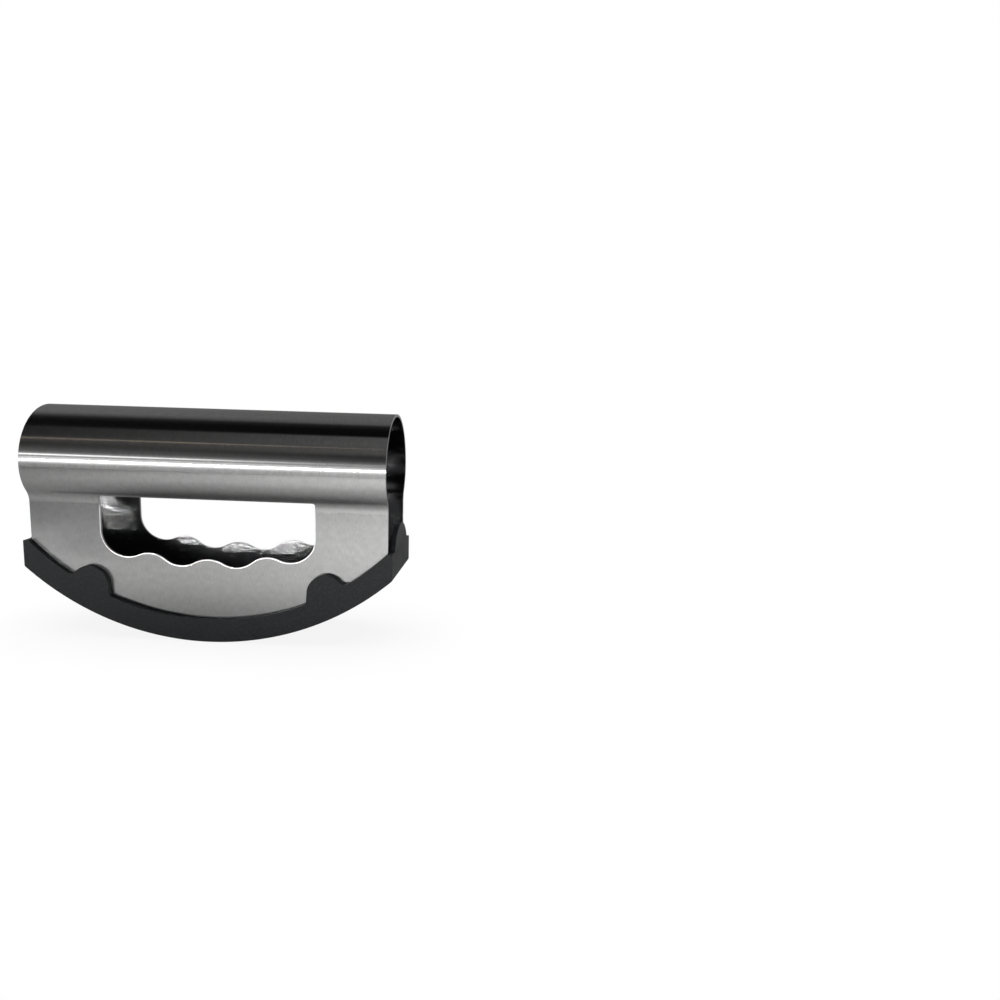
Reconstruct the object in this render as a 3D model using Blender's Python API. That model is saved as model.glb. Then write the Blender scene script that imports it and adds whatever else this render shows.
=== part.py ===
"""Rolling food chopper with its blade guard.

The tool is one strip of stainless steel. Its middle is rolled into an open tube, which is
the handle, and its two ends hang down from the tube as a pair of parallel curved blades
with a finger window cut through both. A moulded guard covers the two cutting edges, and
the tool stands on the guard's curved underside. It lifts straight up out of the guard.

Metres, +Z up. X runs along the handle, and the front blade faces -Y. The origin is at the
middle of the guard's underside.
"""

import math

import bmesh
import bpy
from mathutils import Matrix, Vector

# Steel strip
SHEET_LENGTH = 0.165
SHEET_THICKNESS = 0.0012
HANDLE_RADIUS = 0.0257  # outside of the rolled tube
HANDLE_ABOVE_EDGE = 0.0768  # tube's axis above the lowest point of the cutting edges
BLADE_SPREAD = 0.0388  # over the outer faces of the two blades
TURN_IN_RADIUS = 0.0199  # below its axis the tube turns in more tightly, on the outer face
NECK_BEND_RADIUS = 0.008  # where the turned-in side straightens into a blade, outer face
EDGE_RADIUS = 0.1257  # rocking curve of the cutting edges
GRIND_WIDTH = 0.004  # ground bevel along each cutting edge, on the outer face
EDGE_LAND = 0.00025  # thickness left at the cutting edge

# Finger window through both blades, its edges measured down from the tube's axis
WINDOW_WIDTH = 0.0992
WINDOW_TOP_DROP = 0.0138
WINDOW_TOP_FILLET = 0.001
FINGER_RADIUS = 0.0121  # of each hollow along the window's lower edge, and of its lower corners
INNER_FINGER_OFFSET = 0.0126  # middle of an inner hollow, from the window's middle
INNER_FINGER_DROP = 0.0449
OUTER_FINGER_DROP = 0.0417
MIDDLE_CREST_RADIUS = 0.0136
OUTER_CREST_RADIUS = 0.0117

# Moulded guard
FIT_GAP = 0.0003  # clearance round the blades, all ways
GUARD_FLOOR = 0.0024
GUARD_SIDE_WALL = 0.0024
GUARD_END_WALL = 0.0022
GUARD_BAND_HEIGHT = 0.0105  # of the side walls between the grips, along the radius
GUARD_EDGE_ROUND = 0.0007  # of its outer edges
GUARD_EDGE_FLATS = 2  # that each of these roundings is cut into
HEEL_FILLET = 0.0012  # lower corner at each end
GRIP_OFFSET = 0.0547  # middle of each round grip on a side wall, from the guard's middle
GRIP_RADIUS = 0.0087
GRIP_RISE = 0.0095  # above the band's edge below the grip's middle
GRIP_LEAN = math.radians(4)  # of each grip's inner flank
GRIP_INNER_FILLET = 0.002
GRIP_OUTER_FILLET = 0.003
TAB_RADIUS = 0.017  # round thumb tab on each end wall
TAB_RISE = 0.0105  # above the shoulders
TAB_ROOT_FILLET = 0.0015
RIB_THICKNESS = 0.0018  # inner ribs that keep each blade against its side wall
RIB_HEIGHT = 0.006

# How finely curves are cut into flats
ROCKER_FLATS = 144  # in a full turn
SHORTEST_FLAT = 0.4  # of a full flat, where one is cut short at the ends
TUBE_STEP = math.radians(3.0)
NECK_STEP = math.radians(6.0)
FILLET_STEP = math.radians(15.0)
FINGER_STEP = math.radians(6.0)
GRIP_STEP = math.radians(7.5)
EDGE_ANGLE = math.radians(35)  # a sharper turn than this is an edge, not a curve

# Sizes that follow from those above
ROCKER_STEP = 2 * math.pi / ROCKER_FLATS
HALF_LENGTH = SHEET_LENGTH / 2
BLADE_OUTER_Y = BLADE_SPREAD / 2
BLADE_INNER_Y = BLADE_OUTER_Y - SHEET_THICKNESS
FLOOR_RADIUS = EDGE_RADIUS + FIT_GAP
GUARD_RADIUS = FLOOR_RADIUS + GUARD_FLOOR
ROCKER_CENTRE_Z = GUARD_RADIUS * math.cos(ROCKER_STEP / 2)  # the middle flat lies at z = 0
EDGE_Z = ROCKER_CENTRE_Z - EDGE_RADIUS
HANDLE_Z = EDGE_Z + HANDLE_ABOVE_EDGE
CAVITY_HALF_LENGTH = HALF_LENGTH + FIT_GAP
CAVITY_HALF_WIDTH = BLADE_OUTER_Y + FIT_GAP
GUARD_HALF_LENGTH = CAVITY_HALF_LENGTH + GUARD_END_WALL
GUARD_HALF_WIDTH = CAVITY_HALF_WIDTH + GUARD_SIDE_WALL
BAND_RADIUS = GUARD_RADIUS - GUARD_BAND_HEIGHT
HEEL_Z = ROCKER_CENTRE_Z - math.sqrt(GUARD_RADIUS**2 - GUARD_HALF_LENGTH**2)
SHOULDER_Z = ROCKER_CENTRE_Z - math.sqrt(BAND_RADIUS**2 - HALF_LENGTH**2)  # level from here out
TAB_TOP = SHOULDER_Z + TAB_RISE
GRIP_TOP = ROCKER_CENTRE_Z - math.sqrt(BAND_RADIUS**2 - GRIP_OFFSET**2) + GRIP_RISE
CUTTER_REACH = 0.02  # how far a cutter runs past what it cuts
BITE = 0.0005  # how far a joined shape is sunk into the wall that carries it
TOUCHING = 1e-6  # points closer than this are one


def arc(centre, radius, start, end, step):
    """Points along an arc, both ends included, angles from the first axis."""
    count = max(2, math.ceil(abs(end - start) / step - TOUCHING))
    return [
        (
            centre[0] + radius * math.cos(start + (end - start) * i / count),
            centre[1] + radius * math.sin(start + (end - start) * i / count),
        )
        for i in range(count + 1)
    ]


def rounded(corners, step=FILLET_STEP):
    """A closed outline through (a, b, fillet radius) corners, each fillet cut into flats."""
    outline = []
    for i, (a, b, radius) in enumerate(corners):
        here = Vector((a, b))
        if radius <= 0:
            outline.append((a, b))
            continue
        back = (Vector(corners[i - 1][:2]) - here).normalized()
        ahead = (Vector(corners[(i + 1) % len(corners)][:2]) - here).normalized()
        turn = math.pi - back.angle(ahead)
        reach = radius * math.tan(turn / 2)
        centre = here + (back + ahead).normalized() * radius / math.cos(turn / 2)
        start = here + back * reach - centre
        count = max(2, math.ceil(turn / step))
        side = 1 if ahead.x * back.y - ahead.y * back.x > 0 else -1
        for k in range(count + 1):
            spun = Matrix.Rotation(side * turn * k / count, 2) @ start
            outline.append((centre.x + spun.x, centre.y + spun.y))
    return outline


def rocker_angles(limit):
    """Angles from straight down, alike on both sides, so that the middle flat is level."""
    half = [ROCKER_STEP * (k + 0.5) for k in range(int(limit / ROCKER_STEP) + 1)]
    half = [angle for angle in half if angle < limit - SHORTEST_FLAT * ROCKER_STEP] + [limit]
    return [-angle for angle in reversed(half)] + half


def rocker_arc(radius, half_length):
    """Points in XZ along a curve about the rocking centre, from -X to +X."""
    limit = math.asin(half_length / radius)
    return [
        (radius * math.sin(angle), ROCKER_CENTRE_Z - radius * math.cos(angle))
        for angle in rocker_angles(limit)
    ]


def bearing(start, end):
    """Angle of the way from one point to another, from the first axis."""
    return math.atan2(end[1] - start[1], end[0] - start[0])


def circles_meet(first, first_radius, second, second_radius):
    """Where two circles cross, on the right of the way from the first centre to the second."""
    start, span = Vector(first), Vector(second) - Vector(first)
    along = (span.length_squared + first_radius**2 - second_radius**2) / (2 * span.length)
    aside = math.sqrt(first_radius**2 - along**2)
    way = span.normalized()
    return tuple(start + along * way + aside * Vector((way.y, -way.x)))


def ray_meets_circle(start, direction, centre, radius):
    """Where a ray that starts inside a circle leaves it."""
    way, offset = Vector(direction).normalized(), Vector(start) - Vector(centre)
    nearest = -way.dot(offset)
    beyond = math.sqrt(nearest**2 - offset.length_squared + radius**2)
    return tuple(Vector(start) + way * (nearest + beyond))


def mesh_object(name, bm):
    """Turns a bmesh into a named object with its faces out and its curves shaded smooth."""
    bmesh.ops.recalc_face_normals(bm, faces=bm.faces)
    mesh = bpy.data.meshes.new(name)
    bm.to_mesh(mesh)
    bm.free()
    mesh.shade_smooth()
    mesh.set_sharp_from_angle(angle=EDGE_ANGLE)
    obj = bpy.data.objects.new(name, mesh)
    bpy.context.scene.collection.objects.link(obj)
    return obj


def slab(outline, low, high, axis):
    """A bmesh of a flat outline extruded along axis: in XZ for "Y", and in YZ for "X"."""
    bm = bmesh.new()
    place = (lambda a, b, c: (a, c, b)) if axis == "Y" else (lambda a, b, c: (c, a, b))
    face = bm.faces.new([bm.verts.new(place(a, b, low)) for a, b in outline])
    grown = bmesh.ops.extrude_face_region(bm, geom=[face])["geom"]
    moved = [v for v in grown if isinstance(v, bmesh.types.BMVert)]
    bmesh.ops.translate(bm, verts=moved, vec=place(0, 0, high - low))
    return bm


def boolean(target, tool, operation):
    """Adds a Boolean that stays live on target, its tool hidden as no part of the model."""
    tool.hide_render = True
    tool.display_type = "WIRE"
    modifier = target.modifiers.new(f"{operation.lower()} {tool.name}", "BOOLEAN")
    modifier.operation = operation
    modifier.object = tool


def settle(obj):
    """Makes an object's evaluated shape its own mesh, and removes the tools that shaped it."""
    graph = bpy.context.evaluated_depsgraph_get()
    mesh = bpy.data.meshes.new_from_object(obj.evaluated_get(graph))
    tools = [modifier.object for modifier in obj.modifiers]
    obj.modifiers.clear()
    obj.data = mesh
    for tool in tools:
        bpy.data.objects.remove(tool, do_unlink=True)


def surface(name, colour, roughness, metallic):
    """A plain Principled material."""
    material = bpy.data.materials.new(name)
    material.use_nodes = True
    shader = material.node_tree.nodes["Principled BSDF"]
    shader.inputs["Base Color"].default_value = (*colour, 1)
    shader.inputs["Roughness"].default_value = roughness
    shader.inputs["Metallic"].default_value = metallic
    return material


def keyhole_side(inset, blade_foot):
    """One face of the strip in YZ, from the front blade's foot over the tube to the rear's.

    The face lies inset from the outer one. Each side of the tube turns in on a tighter arc
    that touches the tube's widest point, and a bend the other way touches that arc and the
    blade's flat, so the two arcs' centres lie the sum of their radii apart.
    """
    reach = TURN_IN_RADIUS + NECK_BEND_RADIUS
    across = reach - (HANDLE_RADIUS - BLADE_OUTER_Y)
    turn = math.asin(across / reach)
    turn_in = arc(
        (TURN_IN_RADIUS - HANDLE_RADIUS, HANDLE_Z),
        TURN_IN_RADIUS - inset,
        -math.pi / 2 - turn,
        -math.pi,
        TUBE_STEP,
    )
    bend = arc(
        (-BLADE_OUTER_Y - NECK_BEND_RADIUS, HANDLE_Z - math.sqrt(reach**2 - across**2)),
        NECK_BEND_RADIUS + inset,
        0,
        math.pi / 2 - turn,
        NECK_STEP,
    )
    front = [(inset - BLADE_OUTER_Y, blade_foot)] + bend + turn_in[1:]
    over = arc((0, HANDLE_Z), HANDLE_RADIUS - inset, math.pi, 0, TUBE_STEP)
    return front + over[1:-1] + [(-y, z) for y, z in reversed(front)]


def build_steel_blank():
    """The strip bent to its keyhole section, its blades still square at the foot."""
    foot = EDGE_Z - CUTTER_REACH
    section = keyhole_side(0, foot) + keyhole_side(SHEET_THICKNESS, foot)[::-1]
    return mesh_object("folded_steel_body", slab(section, -HALF_LENGTH, HALF_LENGTH, "X"))


def build_edge_form():
    """A disc turned about the rocking axis: what the strip keeps of its blades.

    Its rim trims both blades to the rocking curve, and its chamfers grind their outer faces.
    """
    land_y = BLADE_INNER_Y + EDGE_LAND
    side_y = HANDLE_RADIUS + CUTTER_REACH
    shoulder = EDGE_RADIUS - GRIND_WIDTH
    profile = [
        (0, side_y),
        (shoulder, side_y),
        (shoulder, BLADE_OUTER_Y),
        (EDGE_RADIUS, land_y),
        (EDGE_RADIUS, -land_y),
        (shoulder, -BLADE_OUTER_Y),
        (shoulder, -side_y),
        (0, -side_y),
    ]
    bm = bmesh.new()
    first = Matrix.Rotation(ROCKER_STEP / 2, 3, "Y")
    axis_point = Vector((0, 0, ROCKER_CENTRE_Z))
    verts = [bm.verts.new(axis_point + first @ Vector((0, y, -r))) for r, y in profile]
    edges = [bm.edges.new(pair) for pair in zip(verts[:-1], verts[1:])]
    bmesh.ops.spin(
        bm,
        geom=verts + edges,
        cent=axis_point,
        axis=(0, 1, 0),
        angle=2 * math.pi,
        steps=ROCKER_FLATS,
        use_merge=True,
    )
    bmesh.ops.remove_doubles(bm, verts=bm.verts, dist=TOUCHING)
    return mesh_object("edge_form", bm)


def window_outline():
    """The window in XZ: straight top and sides, and a lower edge with four finger hollows."""
    top = HANDLE_Z - WINDOW_TOP_DROP
    outer_x = WINDOW_WIDTH / 2 - FINGER_RADIUS
    outer_z = HANDLE_Z - OUTER_FINGER_DROP + FINGER_RADIUS
    inner_z = HANDLE_Z - INNER_FINGER_DROP + FINGER_RADIUS
    hollows = [
        (-outer_x, outer_z),
        (-INNER_FINGER_OFFSET, inner_z),
        (INNER_FINGER_OFFSET, inner_z),
        (outer_x, outer_z),
    ]
    crest_radii = [OUTER_CREST_RADIUS, MIDDLE_CREST_RADIUS, OUTER_CREST_RADIUS]
    reaches = [FINGER_RADIUS + radius for radius in crest_radii]
    crests = [circles_meet(hollows[i], reaches[i], hollows[i + 1], reaches[i]) for i in range(3)]
    lower = []
    for i, centre in enumerate(hollows):
        start = -math.pi if i == 0 else bearing(centre, crests[i - 1])
        end = 0 if i == 3 else bearing(centre, crests[i])
        lower += arc(centre, FINGER_RADIUS, start, end, FINGER_STEP)
        if i < 3:
            crest_start = bearing(crests[i], centre)
            crest_end = bearing(crests[i], hollows[i + 1])
            lower += arc(crests[i], crest_radii[i], crest_start, crest_end, FINGER_STEP)[1:-1]
    half = WINDOW_WIDTH / 2
    upper = rounded(
        [
            (half, top, WINDOW_TOP_FILLET),
            (-half, top, WINDOW_TOP_FILLET),
            (-half, outer_z, 0),
            (half, outer_z, 0),
        ]
    )
    return lower + upper[:-2]


def build_window_cutter():
    """The finger window as a block right through both blades."""
    reach = HANDLE_RADIUS + CUTTER_REACH
    return mesh_object("window_cutter", slab(window_outline(), -reach, reach, "Y"))


def build_steel_body(material):
    """The finished strip: bent, trimmed and ground to the rocking curve, and pierced."""
    body = build_steel_blank()
    boolean(body, build_edge_form(), "INTERSECT")
    boolean(body, build_window_cutter(), "DIFFERENCE")
    body.data.materials.append(material)


def guard_side_half():
    """Corners of the side wall in XZ at +X, from the band's inner end over the grip to the heel."""
    rocker_centre = (0, ROCKER_CENTRE_Z)
    grip_centre = (GRIP_OFFSET, GRIP_TOP - GRIP_RADIUS)
    outer_fillet = circles_meet(
        grip_centre, GRIP_RADIUS + GRIP_OUTER_FILLET, rocker_centre, BAND_RADIUS - GRIP_OUTER_FILLET
    )
    valley_start = bearing(outer_fillet, grip_centre) % (2 * math.pi)
    valley_end = bearing(rocker_centre, outer_fillet) % (2 * math.pi)
    grip_end = valley_start - math.pi
    grip = arc(grip_centre, GRIP_RADIUS, math.pi - GRIP_LEAN, grip_end, GRIP_STEP)
    valley = arc(outer_fillet, GRIP_OUTER_FILLET, valley_start, valley_end, FILLET_STEP)
    root = ray_meets_circle(
        grip[0], (-math.sin(GRIP_LEAN), -math.cos(GRIP_LEAN)), rocker_centre, BAND_RADIUS
    )
    shoulder_end = bearing(rocker_centre, (HALF_LENGTH, SHOULDER_Z))
    shoulder = arc(
        rocker_centre, BAND_RADIUS, valley_end - 2 * math.pi, shoulder_end, ROCKER_STEP
    )
    return (
        [(*root, GRIP_INNER_FILLET)]
        + [(x, z, 0) for x, z in grip + valley[1:] + shoulder[1:-1]]
        + [
            (HALF_LENGTH, SHOULDER_Z, 0),
            (HALF_LENGTH, TAB_TOP + BITE, 0),
            (GUARD_HALF_LENGTH, TAB_TOP + BITE, 0),
            (GUARD_HALF_LENGTH, HEEL_Z, HEEL_FILLET),
        ]
    )


def guard_side_outline():
    """The guard from the front: band, grips and shoulders, ends up to the tabs, and rocker."""
    right = guard_side_half()
    left = [(-x, z, radius) for x, z, radius in reversed(right)]
    band = rocker_arc(BAND_RADIUS, right[0][0])[1:-1]
    underside = rocker_arc(GUARD_RADIUS, GUARD_HALF_LENGTH)[1:-1]
    return rounded(
        [(x, z, 0) for x, z in band]
        + right
        + [(x, z, 0) for x, z in reversed(underside)]
        + left
    )


def build_end_form():
    """What the guard keeps, seen along X: level shoulders, and a round tab between them."""
    centre_z = TAB_TOP - TAB_RADIUS
    root = math.asin((SHOULDER_Z - centre_z) / TAB_RADIUS)
    root_y = TAB_RADIUS * math.cos(root)
    over = arc((0, centre_z), TAB_RADIUS, root, math.pi - root, 2 * TUBE_STEP)[1:-1]
    side_y = GUARD_HALF_WIDTH + BITE
    outline = rounded(
        [
            (side_y, -CUTTER_REACH, 0),
            (side_y, SHOULDER_Z, 0),
            (root_y, SHOULDER_Z, TAB_ROOT_FILLET),
        ]
        + [(y, z, 0) for y, z in over]
        + [
            (-root_y, SHOULDER_Z, TAB_ROOT_FILLET),
            (-side_y, SHOULDER_Z, 0),
            (-side_y, -CUTTER_REACH, 0),
        ]
    )
    reach = GUARD_HALF_LENGTH + CUTTER_REACH
    return mesh_object("end_form", slab(outline, -reach, reach, "X"))


def round_outer_edges(guard):
    """Rounds the sharp edges that lie on the guard's side faces and end faces."""

    def outside(vert):
        return (
            abs(abs(vert.co.x) - GUARD_HALF_LENGTH) < TOUCHING
            or abs(abs(vert.co.y) - GUARD_HALF_WIDTH) < TOUCHING
        )

    bm = bmesh.new()
    bm.from_mesh(guard.data)
    sharp = [
        edge
        for edge in bm.edges
        if edge.calc_face_angle() > EDGE_ANGLE and all(outside(vert) for vert in edge.verts)
    ]
    bmesh.ops.bevel(
        bm,
        geom=sharp,
        offset=GUARD_EDGE_ROUND,
        segments=GUARD_EDGE_FLATS,
        profile=0.5,
        affect="EDGES",
    )
    bm.to_mesh(guard.data)
    bm.free()


def build_guard_cavity():
    """The room inside the guard, down to its floor and out to its walls."""
    top = TAB_TOP + CUTTER_REACH
    floor = rocker_arc(FLOOR_RADIUS, CAVITY_HALF_LENGTH)
    outline = floor + [(CAVITY_HALF_LENGTH, top), (-CAVITY_HALF_LENGTH, top)]
    return mesh_object("cavity_cutter", slab(outline, -CAVITY_HALF_WIDTH, CAVITY_HALF_WIDTH, "Y"))


def build_guide_rib(name, side):
    """A low rib along the floor that holds one blade against its side wall."""
    half_length = CAVITY_HALF_LENGTH + BITE
    crest = rocker_arc(FLOOR_RADIUS - RIB_HEIGHT, half_length)
    root = rocker_arc(FLOOR_RADIUS + BITE, half_length)
    outer_y = BLADE_INNER_Y - FIT_GAP
    low, high = sorted((side * outer_y, side * (outer_y - RIB_THICKNESS)))
    return mesh_object(name, slab(crest + root[::-1], low, high, "Y"))


def build_guard(material):
    """The moulded guard: side walls with grips, end walls with tabs, floor and guide ribs."""
    guard = mesh_object(
        "blade_guard", slab(guard_side_outline(), -GUARD_HALF_WIDTH, GUARD_HALF_WIDTH, "Y")
    )
    boolean(guard, build_end_form(), "INTERSECT")
    settle(guard)
    round_outer_edges(guard)
    boolean(guard, build_guard_cavity(), "DIFFERENCE")
    for name, side in (("front", -1), ("rear", 1)):
        boolean(guard, build_guide_rib(f"{name}_rib_form", side), "UNION")
    guard.data.materials.append(material)


def main():
    for obj in list(bpy.data.objects):
        bpy.data.objects.remove(obj, do_unlink=True)
    build_steel_body(surface("brushed steel", (0.62, 0.62, 0.61), 0.3, 1.0))
    build_guard(surface("black plastic", (0.028, 0.03, 0.033), 0.5, 0.0))


main()
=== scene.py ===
"""Looks of the rolling food chopper and its blade guard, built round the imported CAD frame.

The tool is one strip of stainless steel, rolled into an open tube that is the handle, with
its two ends hanging down as a pair of parallel curved blades. It stands in a moulded black
guard. Both are modelled here again with finer curves, rounded edges and their own finishes,
and each rides on its CAD body. Metres, +Z up, X along the handle, the front blade at -Y.
"""

from __future__ import annotations

import logging
import math
from collections.abc import Callable, Iterator
from contextlib import contextmanager
from dataclasses import dataclass, field
from enum import Enum, IntEnum

import bmesh
import bpy
from mathutils import Matrix, Vector

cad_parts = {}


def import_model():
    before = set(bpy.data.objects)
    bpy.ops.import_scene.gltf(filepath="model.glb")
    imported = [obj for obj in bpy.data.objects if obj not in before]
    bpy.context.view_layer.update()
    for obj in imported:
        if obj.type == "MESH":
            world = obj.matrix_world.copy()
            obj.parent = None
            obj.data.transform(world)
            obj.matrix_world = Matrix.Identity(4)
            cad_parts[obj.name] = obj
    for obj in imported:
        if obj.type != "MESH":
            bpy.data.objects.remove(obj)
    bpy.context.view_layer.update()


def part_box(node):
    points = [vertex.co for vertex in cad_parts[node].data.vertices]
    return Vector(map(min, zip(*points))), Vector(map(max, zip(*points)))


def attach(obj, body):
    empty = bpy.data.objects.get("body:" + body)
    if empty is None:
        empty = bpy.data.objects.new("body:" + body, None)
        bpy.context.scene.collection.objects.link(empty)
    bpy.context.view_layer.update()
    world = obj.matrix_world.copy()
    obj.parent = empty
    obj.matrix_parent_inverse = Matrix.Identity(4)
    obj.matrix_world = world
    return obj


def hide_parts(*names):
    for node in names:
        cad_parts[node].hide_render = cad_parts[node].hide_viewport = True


LOG = logging.getLogger("rolling_food_chopper")
TOUCHING = 1e-6  # points closer than this are one
EDGE_ANGLE = math.radians(35)  # a sharper turn than this is an edge, not a curve

Point = tuple[float, float]  # across and up in a plane
Place = tuple[float, float, float]
Colour = tuple[float, float, float, float]
Socket = bpy.types.NodeSocket


class Plane(Enum):
    """The plane that an outline is drawn in, with the axis that a left turn goes about."""

    FRONT = (0, -1, 0)
    SIDE = (1, 0, 0)

    @property
    def along(self) -> Vector:
        """Gives the positive axis that the plane is seen along."""
        return Vector([abs(part) for part in self.value])

    def place(self, a: float, b: float) -> Vector:
        """Puts a point of the plane, across and up, into space."""
        return Vector((a, 0, b)) if self is Plane.FRONT else Vector((0, a, b))

    def flat(self, point: Vector) -> Vector:
        """Takes a point in space back to the plane, across and up."""
        return Vector((point.x if self is Plane.FRONT else point.y, point.z))


class Turn(Enum):
    """Which way a curve swings, seen with the plane's own axis towards the eye."""

    LEFT = 1
    RIGHT = -1


class Surface(IntEnum):
    """The steel's kinds of surface, numbered like its material slots."""

    OUTSIDE = 0
    INSIDE = 1
    RIM = 2
    GROUND = 3
    ARRIS = 4
    COINED = 5


class Cut(Enum):
    """What a cutter does to the piece it works on."""

    TAKE_AWAY = "DIFFERENCE"
    KEEP_INSIDE = "INTERSECT"
    JOIN = "UNION"


def add_object(name: str, bm: bmesh.types.BMesh) -> bpy.types.Object:
    """Makes a named object of a bmesh, its place in its mesh.

    Args:
        name: Name of the object and its mesh.
        bm: The bmesh, which is freed.

    Returns:
        The object.
    """
    mesh = bpy.data.meshes.new(name)
    bm.to_mesh(mesh)
    bm.free()
    obj = bpy.data.objects.new(name, mesh)
    bpy.context.scene.collection.objects.link(obj)
    return obj


@contextmanager
def reworked(obj: bpy.types.Object) -> Iterator[bmesh.types.BMesh]:
    """Opens an object's mesh as a bmesh, and writes it back when the work on it is done."""
    bm = bmesh.new()
    bm.from_mesh(obj.data)
    yield bm
    bm.to_mesh(obj.data)
    bm.free()


def bearing(start: Point, end: Point) -> float:
    """Gives the angle of the way from one point to another, from the plane's first axis."""
    return math.atan2(end[1] - start[1], end[0] - start[0])


def circles_meet(first: Point, first_radius: float, second: Point, radius: float) -> Point:
    """Finds where two circles cross.

    Args:
        first: Centre of the first circle.
        first_radius: Radius of the first circle.
        second: Centre of the second circle.
        radius: Radius of the second circle.

    Returns:
        The crossing on the right of the way from the first centre to the second.
    """
    start, span = Vector(first), Vector(second) - Vector(first)
    along = (span.length_squared + first_radius**2 - radius**2) / (2 * span.length)
    aside = math.sqrt(first_radius**2 - along**2)
    way = span.normalized()
    return tuple(start + along * way + aside * Vector((way.y, -way.x)))


def ray_meets_circle(start: Point, way: Point, centre: Point, radius: float) -> Point:
    """Finds where a ray that starts inside a circle leaves it.

    Args:
        start: Point that the ray starts from.
        way: Direction of the ray.
        centre: Centre of the circle.
        radius: Radius of the circle.

    Returns:
        The point on the circle.
    """
    along, offset = Vector(way).normalized(), Vector(start) - Vector(centre)
    nearest = -along.dot(offset)
    beyond = math.sqrt(nearest**2 - offset.length_squared + radius**2)
    return tuple(Vector(start) + along * (nearest + beyond))


class Pen:
    """Draws an outline in a plane by extruding and spinning its last vertex."""

    def __init__(self, plane: Plane, start: Point, step: float) -> None:
        """Starts an outline.

        Args:
            plane: Plane that the outline lies in.
            start: First point, across and up.
            step: Angle between the points that a curve is drawn with.
        """
        self.plane = plane
        self.step = step
        self.bm = bmesh.new()
        self.last = self.bm.verts.new(plane.place(*start))

    @property
    def at(self) -> Vector:
        """Gives the last point, across and up."""
        return self.plane.flat(self.last.co)

    def line(self, end: Point) -> None:
        """Draws a straight line to a point."""
        grown = bmesh.ops.extrude_vert_indiv(self.bm, verts=[self.last])["verts"]
        self.last = grown[0]
        self.last.co = self.plane.place(*end)

    def turn(self, centre: Point, angle: float) -> None:
        """Draws an arc through an angle, positive to the left."""
        spun = bmesh.ops.spin(
            self.bm,
            geom=[self.last],
            cent=self.plane.place(*centre),
            axis=self.plane.value,
            angle=angle,
            steps=max(2, math.ceil(abs(angle) / self.step - TOUCHING)),
        )
        self.last = next(g for g in spun["geom_last"] if isinstance(g, bmesh.types.BMVert))

    def swing(self, centre: Point, towards: Point, way: Turn) -> None:
        """Draws an arc until it faces a point.

        Args:
            centre: Centre of the arc.
            towards: Point that the arc's end lies in the direction of, seen from its centre.
            way: Side that the arc turns to.
        """
        angle = bearing(centre, towards) - bearing(centre, self.at)
        self.turn(centre, way.value * ((way.value * angle) % (2 * math.pi)))

    def corner(self, at: Point, after: Point, radius: float) -> None:
        """Draws a line to a corner, and rounds the corner off.

        Args:
            at: The corner.
            after: Point that the outline heads for after it.
            radius: Radius of the rounding.
        """
        here = Vector(at)
        back, ahead = (self.at - here).normalized(), (Vector(after) - here).normalized()
        bend = math.pi - back.angle(ahead)
        centre = here + (back + ahead).normalized() * radius / math.cos(bend / 2)
        left = back.x * ahead.y - back.y * ahead.x < 0
        self.line(here + back * radius * math.tan(bend / 2))
        self.turn(centre, bend if left else -bend)

    def sheet(self, low: float, high: float) -> bmesh.types.BMesh:
        """Extrudes the open outline into a sheet along the plane's axis.

        Args:
            low: Where the sheet starts on that axis.
            high: Where it ends.

        Returns:
            The bmesh.
        """
        bmesh.ops.translate(self.bm, verts=self.bm.verts, vec=self.plane.along * low)
        grown = bmesh.ops.extrude_edge_only(self.bm, edges=self.bm.edges[:])["geom"]
        return self.lift(grown, high - low)

    def block(self, low: float, high: float) -> bmesh.types.BMesh:
        """Closes the outline and extrudes it into a block along the plane's axis.

        Args:
            low: Where the block starts on that axis.
            high: Where it ends.

        Returns:
            The bmesh.
        """
        bmesh.ops.remove_doubles(self.bm, verts=self.bm.verts, dist=TOUCHING)
        ends = [v for v in self.bm.verts if len(v.link_edges) == 1]
        if ends:
            self.bm.edges.new(ends)
        face = bmesh.ops.contextual_create(self.bm, geom=self.bm.edges[:])["faces"][0]
        bmesh.ops.translate(self.bm, verts=self.bm.verts, vec=self.plane.along * low)
        grown = bmesh.ops.extrude_face_region(self.bm, geom=[face])["geom"]
        self.lift(grown, high - low)
        bmesh.ops.recalc_face_normals(self.bm, faces=self.bm.faces)
        return self.bm

    def lift(self, grown: list[object], height: float) -> bmesh.types.BMesh:
        """Moves points just extruded along the plane's axis, and gives the bmesh back."""
        moved = [g for g in grown if isinstance(g, bmesh.types.BMVert)]
        bmesh.ops.translate(self.bm, verts=moved, vec=self.plane.along * height)
        return self.bm


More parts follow.
